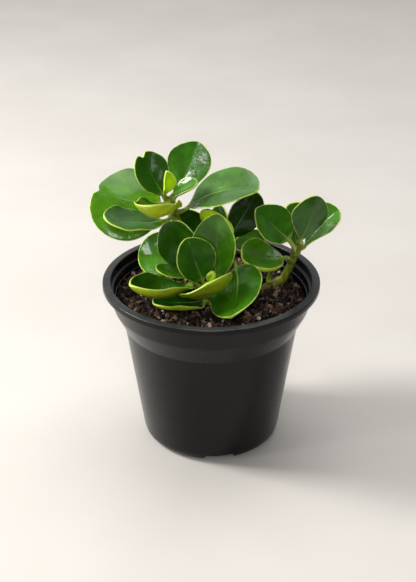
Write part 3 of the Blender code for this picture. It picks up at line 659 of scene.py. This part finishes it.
def make_soil(look):
    edge = inner_radius(SOIL_LEVEL - 1) - SOIL_EDGE_CLEARANCE
    profile = [(BASE_RADIUS - WALL - 3.6, SOIL_BASE_Z)]
    profile += [(inner_radius(z) - SOIL_CLEARANCE, z) for z in (FLOOR_CORNER_Z, WAIST_Z, SOIL_SHOULDER_Z)]
    angles = 2 * np.pi * np.arange(SOIL_SIDES) / SOIL_SIDES
    points = [(0, 0, SOIL_BASE_Z)]
    for radius, z in profile:
        points += [(radius * cos(a), radius * sin(a), z) for a in angles]
    for ring in range(SOIL_RINGS):
        radius = edge * (1 - ring / SOIL_RINGS)
        for a in angles:
            x, y = radius * cos(a), radius * sin(a)
            settled = SOIL_SETTLED + (0.4 if ring == 0 else 0)
            points.append((x, y, soil_height(x, y) + crumbs(x, y) - settled))
    points.append((0, 0, soil_height(0, 0)))
    faces = capped_faces(len(profile) + SOIL_RINGS, SOIL_SIDES)
    keep(add_mesh("soil_bed", np.array(points) * MM, faces, look), "soil")


def ball(divisions):
    """Points and faces of a small sphere."""
    shape = bmesh.new()
    bmesh.ops.create_icosphere(shape, subdivisions=divisions, radius=1)
    points = np.array([v.co[:] for v in shape.verts])
    faces = np.array([[v.index for v in face.verts] for face in shape.faces])
    shape.free()
    return points, faces


def turn_matrix(dice):
    """A random rotation."""
    q = np.array([dice.gauss(0, 1) for _ in range(4)])
    w, x, y, z = unit(q)
    return np.array([[1 - 2 * (y * y + z * z), 2 * (x * y - z * w), 2 * (x * z + y * w)],
                     [2 * (x * y + z * w), 1 - 2 * (x * x + z * z), 2 * (y * z - x * w)],
                     [2 * (x * z - y * w), 2 * (y * z + x * w), 1 - 2 * (x * x + y * y)]])


def soil_spot(dice, margin):
    """A random point on the soil, clear of the pot wall and of the shoots."""
    edge = inner_radius(SOIL_LEVEL) - margin
    while True:
        x, y = dice.uniform(-edge, edge), dice.uniform(-edge, edge)
        feet = [shoot["line"][1] for shoot in SHOOTS.values()]
        clear = all(hypot(x - foot[0], y - foot[1]) > SHOOT_CLEARANCE + margin / 2 for foot in feet)
        if clear and hypot(x, y) <= edge:
            return x, y


def scatter(name, count, dice, grain, sizes, colours, look, lift):
    """Loose lumps over the soil, as one mesh. sizes is (smallest, largest, flatness, stretch) in mm."""
    shape, faces = grain
    small, large, flat, stretch = sizes
    points, polygons, tints = [], [], []
    for i in range(count):
        size = small + (large - small) * dice.random() ** SMALL_SHARE
        axes = np.array([size * dice.uniform(1, stretch), size, size * dice.uniform(flat, 1)]) / 2
        offset = Vector((i * 3.1, 0, 0))
        lumps = 1 + LUMPINESS * np.array([noise.noise(Vector(p) * 1.7 + offset) for p in shape])
        lump = (shape * axes * lumps[:, None]) @ turn_matrix(dice).T
        x, y = soil_spot(dice, axes.max() + 0.6)
        z = soil_height(x, y) + crumbs(x, y) - 0.4 + size * lift * dice.uniform(0.2, 1.0)
        polygons.append(faces + i * len(shape))
        points.append(lump + (x, y, z))
        tint = np.array(dice.choice(colours)) * dice.uniform(0.7, 1.3)
        tints.append(np.tile(tint, (len(shape), 1)))
    made = add_mesh(name, np.concatenate(points) * MM, np.concatenate(polygons).tolist(), look, sharp=38)
    paint_colour(made, "tint", np.concatenate(tints))
    keep(made)


def make_fibres(dice, look):
    points, polygons, tints = [], [], []
    sides, stations = 5, 9
    for i in range(FIBRES):
        x, y = soil_spot(dice, 6)
        heading, length = dice.uniform(0, 2 * pi), dice.uniform(3.5, 9)
        curve, radius, arch = dice.uniform(-0.12, 0.12), dice.uniform(0.12, 0.3), dice.uniform(0.2, 1.2)
        rings = []
        for k in range(stations):
            share = k / (stations - 1)
            here = heading + curve * (share - 0.5) * length
            x += cos(here) * length / stations
            y += sin(here) * length / stations
            z = soil_height(x, y) + crumbs(x, y) - 0.1 + arch * sin(pi * share)
            thin = radius * (0.45 + 0.55 * sin(pi * min(max(share, 0.08), 0.92)))
            for j in range(sides):
                a = 2 * pi * j / sides
                out = thin * cos(a)
                rings.append((x - sin(here) * out, y + cos(here) * out, z + thin * sin(a)))
        first = i * sides * stations
        polygons += [tuple(first + v for v in face) for face in tube_faces(stations, sides)]
        points += rings
        tints += [np.array(FIBRE) * dice.uniform(0.5, 1.4)] * len(rings)
    made = add_mesh("soil_fibres", np.array(points) * MM, polygons, look)
    paint_colour(made, "tint", np.array(tints))
    keep(made)


def smooth_line(knots, count):
    """A Catmull-Rom curve through the knots, read at count points."""
    knots = [np.array(knot, float) for knot in knots]
    knots = [2 * knots[0] - knots[1]] + knots + [2 * knots[-1] - knots[-2]]
    spans = len(knots) - 3
    line = []
    for i in range(count):
        x = spans * i / (count - 1)
        k = min(int(x), spans - 1)
        t = x - k
        a, b, c, d = knots[k:k + 4]
        line.append(0.5 * (2 * b + (c - a) * t + (2 * a - 5 * b + 4 * c - d) * t ** 2
                           + (3 * b - a - 3 * c + d) * t ** 3))
    return line


def shoot_at(shoot, z):
    """Centre and direction of a shoot at height z, and its radius there, all in mm."""
    line = smooth_line(shoot["line"], JOINT_STATIONS)
    last = JOINT_STATIONS - 1
    k = min(range(len(line)), key=lambda i: abs(line[i][2] - z))
    along = line[min(k + 1, last)] - line[max(k - 1, 0)]
    root, tip = shoot["radii"]
    return line[k], unit(along), root + (tip - root) * k / last


def shoot_rings(shoot, joints, seed):
    """Rings of a shoot with a swelling at each joint and a rounded tip, with along and scar values."""
    line = smooth_line(shoot["line"], SHOOT_STATIONS)
    root, tip = shoot["radii"]
    rings, alongs, scars = [], [], []
    across = np.array([1.0, 0, 0])
    for i, centre in enumerate(line):
        share = i / (SHOOT_STATIONS - 1)
        along = unit(line[min(i + 1, SHOOT_STATIONS - 1)] - line[max(i - 1, 0)])
        across = unit(across - along * (across @ along))
        up = np.cross(along, across)
        left = float(np.linalg.norm(line[-1] - centre))
        radius = (root + (tip - root) * share) * sqrt(max(1 - max(1 - left / tip, 0) ** 2, 0.02))
        swell = sum(exp(-((centre[2] - z) / SWELL_HEIGHT) ** 2) for z in joints)
        scar = sum(exp(-((centre[2] - z + SCAR_DROP) / SCAR_HEIGHT) ** 2) for z in joints)
        ring = []
        for j in range(SHOOT_SIDES):
            a = 2 * pi * j / SHOOT_SIDES
            out = across * cos(a) + up * sin(a)
            bumpy = noise.noise(Vector(centre * 0.35 + out * 0.7 + seed))
            ring.append(centre + out * radius * (1 + 0.07 * min(swell, 1.5) + 0.05 * bumpy))
        rings.append(ring)
        alongs += [share] * SHOOT_SIDES
        scars += [min(scar, 1) * 0.7] * SHOOT_SIDES
    return rings, alongs, scars


def make_shoot(name, shoot, joints, seed, look):
    rings, alongs, scars = shoot_rings(shoot, joints, seed)
    made = closed_tube(name + "_stem", rings, look)
    paint(made, "along", alongs)
    paint(made, "scar", scars)
    return made


def make_shoots(look):
    for seed, (name, shoot) in enumerate(SHOOTS.items()):
        joints = [leaf["joint"] for leaf in LEAVES if leaf["on"] == name]
        made = make_shoot(name, shoot, joints, seed * 7.3, look)
        if name == "right":
            below_tip = [leaf["joint"] for leaf in LEAVES
                         if leaf["on"] == "fork" and leaf["joint"] < FORK["line"][-1][2]]
            branch = make_shoot("fork", FORK, below_tip, 40.1, look)
            boolean(made, branch, "UNION")
            made.data.shade_smooth()
        keep(made, name + "_shoot")


def rotation(axis, angle):
    x, y, z = axis
    c, s = cos(angle), sin(angle)
    return np.array([
        [c + x * x * (1 - c), x * y * (1 - c) - z * s, x * z * (1 - c) + y * s],
        [y * x * (1 - c) + z * s, c + y * y * (1 - c), y * z * (1 - c) - x * s],
        [z * x * (1 - c) - y * s, z * y * (1 - c) + x * s, c + z * z * (1 - c)],
    ])


def blade_frame(leaf):
    """Columns along the midrib, across the blade and out of its upper side, where the blade starts."""
    a, t, r = (radians(leaf[key]) for key in ("heading", "pitch", "roll"))
    along = np.array([cos(t) * cos(a), cos(t) * sin(a), sin(t)])
    level = np.array([-sin(a), cos(a), 0])
    out = np.cross(along, level)
    across = level * cos(r) + out * sin(r)
    return np.stack([along, across, out * cos(r) - level * sin(r)], 1)


def midrib(leaf):
    """Points and frames along the midrib, which turns at a steady rate from base to tip."""
    turn = np.radians([leaf["twist"], -leaf["bend"], leaf["sway"]]) / MIDRIB_STEPS
    angle = float(np.linalg.norm(turn))
    axis = turn / angle if angle > 0 else np.array([1.0, 0, 0])
    step, half = rotation(axis, angle), rotation(axis, angle / 2)
    point, here = np.array(leaf["base"], float), blade_frame(leaf)
    points, frames = [point], [here]
    for _ in range(MIDRIB_STEPS):
        point = point + (here @ half)[:, 0] * leaf["length"] / MIDRIB_STEPS
        here = here @ step
        points.append(point)
        frames.append(here)
    return points, frames


def petiole_start(leaf):
    """Where the petiole leaves its shoot, a little under the skin, and its direction there."""
    shoot = SHOOTS.get(leaf["on"], FORK)
    centre, along, radius = shoot_at(shoot, leaf["joint"])
    out = np.array(leaf["base"], float) - centre
    sideways = unit(out - along * (out @ along))
    tip = np.array(shoot["line"][-1], float)
    if np.linalg.norm(tip - centre) < TIP_REACH:
        return tip - along * TIP_SUNK, unit(along + unit(out))
    lean = leaf.get("leave", PETIOLE_LEAVE) * sideways + unit(out)
    return centre + sideways * (radius - PETIOLE_SUNK), unit(lean)


def running_sum(slopes, width):
    """How far a line with these slopes has gone at each of its evenly spaced points."""
    return np.concatenate([[0], np.cumsum((slopes[1:] + slopes[:-1]) / 2 * width)])


def blade_section(centre, here, side, halves, lift, wave, pull, bends):
    """A ring round the blade, folded, cupped and turned up at the rim, from its flat offsets across (mm)."""
    fold, curl, lips, lip_start = bends
    reach = np.abs(side)
    steps = np.linspace(0, 1, ACROSS_STEPS)
    turned_up = eased(np.clip((steps - lip_start) / (1 - lip_start), 0, 1))
    tilt, y, z = np.zeros(LEAF_RING), np.zeros(LEAF_RING), np.zeros(LEAF_RING)
    for half, lip, chosen in zip(halves, lips, (COSINES > 0, COSINES <= 0)):
        tilts = fold + curl * steps * half + lip * turned_up
        width = half / (ACROSS_STEPS - 1)
        share = reach[chosen] / half
        tilt[chosen] = np.interp(share, steps, tilts)
        y[chosen] = np.interp(share, steps, running_sum(np.cos(tilts), width))
        z[chosen] = np.interp(share, steps, running_sum(np.sin(tilts), width))
    ridge = np.clip(reach / 0.8, 0, 1)
    y = np.sign(side) * (y - lift * np.sin(tilt) * ridge)
    z = z + lift * np.cos(tilt * ridge) + wave
    return centre + np.outer(y, here[:, 1]) + np.outer(z, here[:, 2]) - np.outer(pull, here[:, 0])


def rim_distance(flat, outline):
    """Shortest distance (mm) in the flattened leaf from each point to the outline."""
    starts, ends = outline[:-1], outline[1:]
    run = ends - starts
    squared = np.maximum((run ** 2).sum(1), 1e-12)
    out = []
    for block in np.array_split(flat, max(len(flat) // 500, 1)):
        gap = block[:, None, :] - starts[None]
        share = np.clip((gap * run[None]).sum(2) / squared, 0, 1)
        away = gap - share[:, :, None] * run[None]
        out.append(np.sqrt((away ** 2).sum(2)).min(1))
    return np.concatenate(out)


def petiole_rings(leaf, base, here):
    """Rings along a curved petiole with a shallow groove on its upper side."""
    radius = leaf.get("petiole", PETIOLE_RADIUS)
    start, leaving = petiole_start(leaf)
    reach = float(np.linalg.norm(base - start))
    first = start + leaving * PETIOLE_HANDLES[0] * reach
    second = base - here[:, 0] * PETIOLE_HANDLES[1] * reach
    rings = []
    for i in range(PETIOLE_STATIONS):
        s = i / PETIOLE_STATIONS
        centre = ((1 - s) ** 3 * start + 3 * (1 - s) ** 2 * s * first
                  + 3 * (1 - s) * s ** 2 * second + s ** 3 * base)
        along = unit((1 - s) ** 2 * (first - start) + 2 * (1 - s) * s * (second - first)
                     + s ** 2 * (base - second))
        across = unit(here[:, 1] - along * (here[:, 1] @ along))
        up = np.cross(along, across)
        size = radius * (1 + (PETIOLE_FLARE - 1) * (1 - s) ** 2)
        size *= 1 + 0.25 * exp(-(s / 0.12) ** 2)
        dent = 1 - 0.22 * s * np.exp(-((RING_ANGLES - np.pi / 2) / 0.5) ** 2)
        rings.append(centre + np.outer(size * dent * COSINES, across) + np.outer(size * dent * SINES, up))
    return rings


def half_widths(leaf, s, flat, lean, phase):
    """Half widths (mm) to either side of the midrib at s, slightly uneven as on a grown leaf."""
    widest, base_round, tip_round = leaf["shape"]
    skew = log(0.5) / log(widest)
    radius = leaf.get("petiole", PETIOLE_RADIUS)
    spread = max(sin(pi * s ** skew), 0) ** (base_round + (tip_round - base_round) * s)
    width = max(hypot(leaf["width"] / 2 * spread, radius * (1 - flat)), TIP_HALF_WIDTH)
    uneven = 1 + lean * sin(pi * s) + 0.012 * sin(7 * s + phase) * flat
    return width * uneven, width * (2 - uneven)


def relief(leaf, s, flat, size, waves, side):
    """The groove along the midrib and the waviness (mm) of a section's points."""
    (speed, phase), (ripples, turn) = waves
    crease = 0.30 * leaf.get("crease", 1)
    groove = np.where(SINES > 0, -crease * np.exp(-(side / 0.55) ** 2), -0.45 * np.exp(-(side / 0.8) ** 2))
    taper = (1 - s) ** 0.8 * flat
    edge = np.clip(np.abs(side) / (leaf["width"] / 2), 0, 1) ** 2
    wave = 0.35 * size * edge * np.sin(speed * s * 2 + phase + np.sign(side) * turn) * flat
    wave = wave + 0.12 * size * flat * np.sin(ripples * s * 3 + side * 0.35 + phase)
    ripple = leaf.get("ripple", 0) * edge ** 2 * flat * np.sin(13 * s + 2 * np.sign(side))
    return groove * taper * size, wave + ripple


def leaf_shape(leaf, dice):
    """Points (mm) and shader values of one leaf from petiole to tip."""
    points, frames = midrib(leaf)
    length, half = leaf["length"], leaf["width"] / 2
    radius = leaf.get("petiole", PETIOLE_RADIUS)
    rings = petiole_rings(leaf, points[0], frames[0])
    pad = np.zeros(len(rings) * LEAF_RING)
    fold, cup = radians(leaf["fold"]), radians(leaf["cup"]) / half
    near_lip, far_lip, lip_start = leaf.get("lip", (0, 0, LIP_START))
    lips = np.radians((near_lip, far_lip))
    lean = dice.uniform(-0.02, 0.02)
    waves = [(dice.uniform(3.5, 6.5), dice.uniform(0, 6.3)) for _ in range(2)]
    size = min(half / FULL_SIZE, 1)
    plump = leaf.get("plump", 1) * (0.75 + 0.25 * size)
    flats, stations = [], []
    for i in range(BLADE_STATIONS + 1):
        s = (1 - cos(pi * i / BLADE_STATIONS)) / 2
        flat = eased(min(s / BLADE_START, 1))
        halves = half_widths(leaf, s, flat, lean, waves[0][1])
        side = np.where(COSINES > 0, *halves) * COSINES
        k = min(int(s * MIDRIB_STEPS), MIDRIB_STEPS - 1)
        part = s * MIDRIB_STEPS - k
        centre = points[k] * (1 - part) + points[k + 1] * part
        here = frames[k] * (1 - part) + frames[k + 1] * part
        groove, wave = relief(leaf, s, flat, size, waves, side)
        thickness = 2 * radius * (1 - flat) + BLADE_THICKNESS * flat * plump
        lift = thickness / 2 * np.sign(SINES) * np.abs(SINES) ** (1 - 0.55 * flat) + groove
        notch = leaf.get("notch", 0) * max((s - NOTCH_START) / (1 - NOTCH_START), 0) ** 2
        pull = notch * np.exp(-(side / NOTCH_WIDTH) ** 2)
        bends = (fold * flat, cup * flat, lips * flat, lip_start)
        rings.append(blade_section(centre, here, side, halves, lift, wave, pull, bends))
        flats.append(np.stack([s * length - pull, side], 1))
        stations.append(np.full(LEAF_RING, s))
    flats = np.concatenate(flats)
    sides = flats[:, 1]
    grid = flats.reshape(-1, LEAF_RING, 2)
    outline = np.concatenate([grid[3:, 0], grid[::-1, LEAF_RING // 2][:-3]])
    rim = rim_distance(flats, outline) * np.where(sides > 0, leaf.get("margin", 1), 1)
    vein_gap = max(length / VEINS, 1.6)
    vein = (flats[:, 0] - VEIN_SLANT * np.abs(sides)) / vein_gap * 2 * np.pi + np.where(sides > 0, 0, 1.4)
    petiole_along = np.repeat(np.linspace(-1, -0.06, PETIOLE_STATIONS), LEAF_RING)
    values = {
        "along": np.concatenate([petiole_along, *stations]),
        "across": np.concatenate([pad, sides]),
        "rim": np.concatenate([pad + FAR_FROM_RIM, rim]),
        "upper": np.concatenate([pad, np.tile(SINES, BLADE_STATIONS + 1)]),
        "vein": np.concatenate([pad, vein]),
    }
    return np.concatenate(rings), len(rings), values


def across_cap(first, count):
    """Faces that close a ring in strips from side to side, so that a curved end stays on the leaf."""
    faces = [(first, first + 1, first + count - 1)]
    for j in range(1, count // 2):
        low, high = first + j, first + count - j
        if j + 1 == count // 2:
            faces.append((low, first + count // 2, high))
        else:
            faces.append((low, low + 1, high - 1, high))
    return faces


def make_leaf(leaf, look, dice):
    points, rings, values = leaf_shape(leaf, dice)
    low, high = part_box(leaf["name"])
    centre = np.array((low + high) / 2) / MM
    shift = centre - (points.max(0) + points.min(0)) / 2
    points = points + np.clip(shift, -SEAT_SHIFT, SEAT_SHIFT)
    faces = ring_faces(rings, LEAF_RING)
    faces += [tuple(reversed(face)) for face in across_cap(0, LEAF_RING)]
    faces += across_cap((rings - 1) * LEAF_RING, LEAF_RING)
    made = add_mesh(leaf["name"] + "_blade", points * MM, faces, look)
    for name, value in values.items():
        paint(made, name, value)
    paint(made, "rib", np.full(len(points), leaf.get("rib", 0.45)))
    tone = dice.uniform(0.92, 1.08)
    # Painted shade: one side of the blade is darkened, most at the base, for the shade that falls on that
    # half.
    painted_shades = np.where(values["across"] > 0, *leaf.get("painted_shade", (0, 0)))
    painted_shades = 1 - painted_shades * np.clip(1 - values["along"], 0, 1)
    paint_colour(made, "tint", np.outer(painted_shades, leaf.get("upper", DARK)) * tone)
    paint_colour(made, "lower", leaf.get("lower", UNDER))
    paint_colour(made, "edge", EDGE)
    keep(made, leaf["name"])


def add_light(name, place, size, power, colour):
    lamp = bpy.data.lights.new(name, "AREA")
    lamp.shape = "RECTANGLE"
    lamp.size, lamp.size_y = size
    lamp.energy = power
    lamp.color = colour
    made = bpy.data.objects.new(name, lamp)
    made.location = place
    made.rotation_euler = (Vector(AIM) - Vector(place)).to_track_quat("-Z", "Y").to_euler()
    bpy.context.scene.collection.objects.link(made)


def make_world():
    """A soft room: bright behind, to the left and overhead, and dim in front."""
    world = bpy.data.worlds.new("studio")
    world.use_nodes = True
    tree = world.node_tree
    way = tree.nodes.new("ShaderNodeTexCoord").outputs["Generated"]
    facing = tree.nodes.new("ShaderNodeVectorMath")
    facing.operation = "DOT_PRODUCT"
    facing.inputs[1].default_value = BRIGHT_SIDE
    tree.links.new(way, facing.inputs[0])
    light = tree.nodes.new("ShaderNodeMapRange")
    for key, value in ROOM.items():
        light.inputs[key].default_value = value
    tree.links.new(facing.outputs["Value"], light.inputs["Value"])
    tree.links.new(light.outputs["Result"], tree.nodes["Background"].inputs["Strength"])
    tree.nodes["Background"].inputs["Color"].default_value = ROOM_COLOUR
    bpy.context.scene.world = world


def make_studio():
    corners = [(x * FLOOR_HALF, y * FLOOR_HALF, 0) for x, y in ((-1, -1), (1, -1), (1, 1), (-1, 1))]
    floor = add_mesh("floor", corners, [(0, 1, 2, 3)], floor_look())
    make_world()
    bpy.context.scene.view_settings.view_transform = "Standard"
    for light in LIGHTS:
        add_light(*light)
    camera = bpy.data.cameras.new("camera")
    camera.lens = CAMERA_LENS
    camera.sensor_width = 36
    made = bpy.data.objects.new("camera", camera)
    made.location = CAMERA_PLACE
    made.rotation_euler = (CAMERA_TILT, 0, 0)
    bpy.context.scene.collection.objects.link(made)
    bpy.context.scene.camera = made


def main():
    make_pot(pot_look())
    make_soil(soil_look())
    dice = random.Random(11)
    chip = grain_look("bark_chips", 0.85, 0.6, 1.35)
    scatter("soil_chips", CHIPS, dice, ball(1), CHIP_SIZES, BARK, chip, lift=0.55)
    make_fibres(dice, chip)
    white = grain_look("perlite_grains", 0.8, 0.85, 1.1)
    scatter("soil_perlite", PERLITE, dice, ball(2), PERLITE_SIZES, WHITE, white, lift=0.35)
    make_shoots(shoot_look())
    mature, young = leaf_look("leaf_mature", 0.20), leaf_look("leaf_young", 0.36)
    dice = random.Random(29)
    for leaf in LEAVES:
        fresh = leaf.get("upper") is YOUNG
        make_leaf(leaf, young if fresh else mature, dice)
    make_studio()
    bpy.context.view_layer.update()


main()
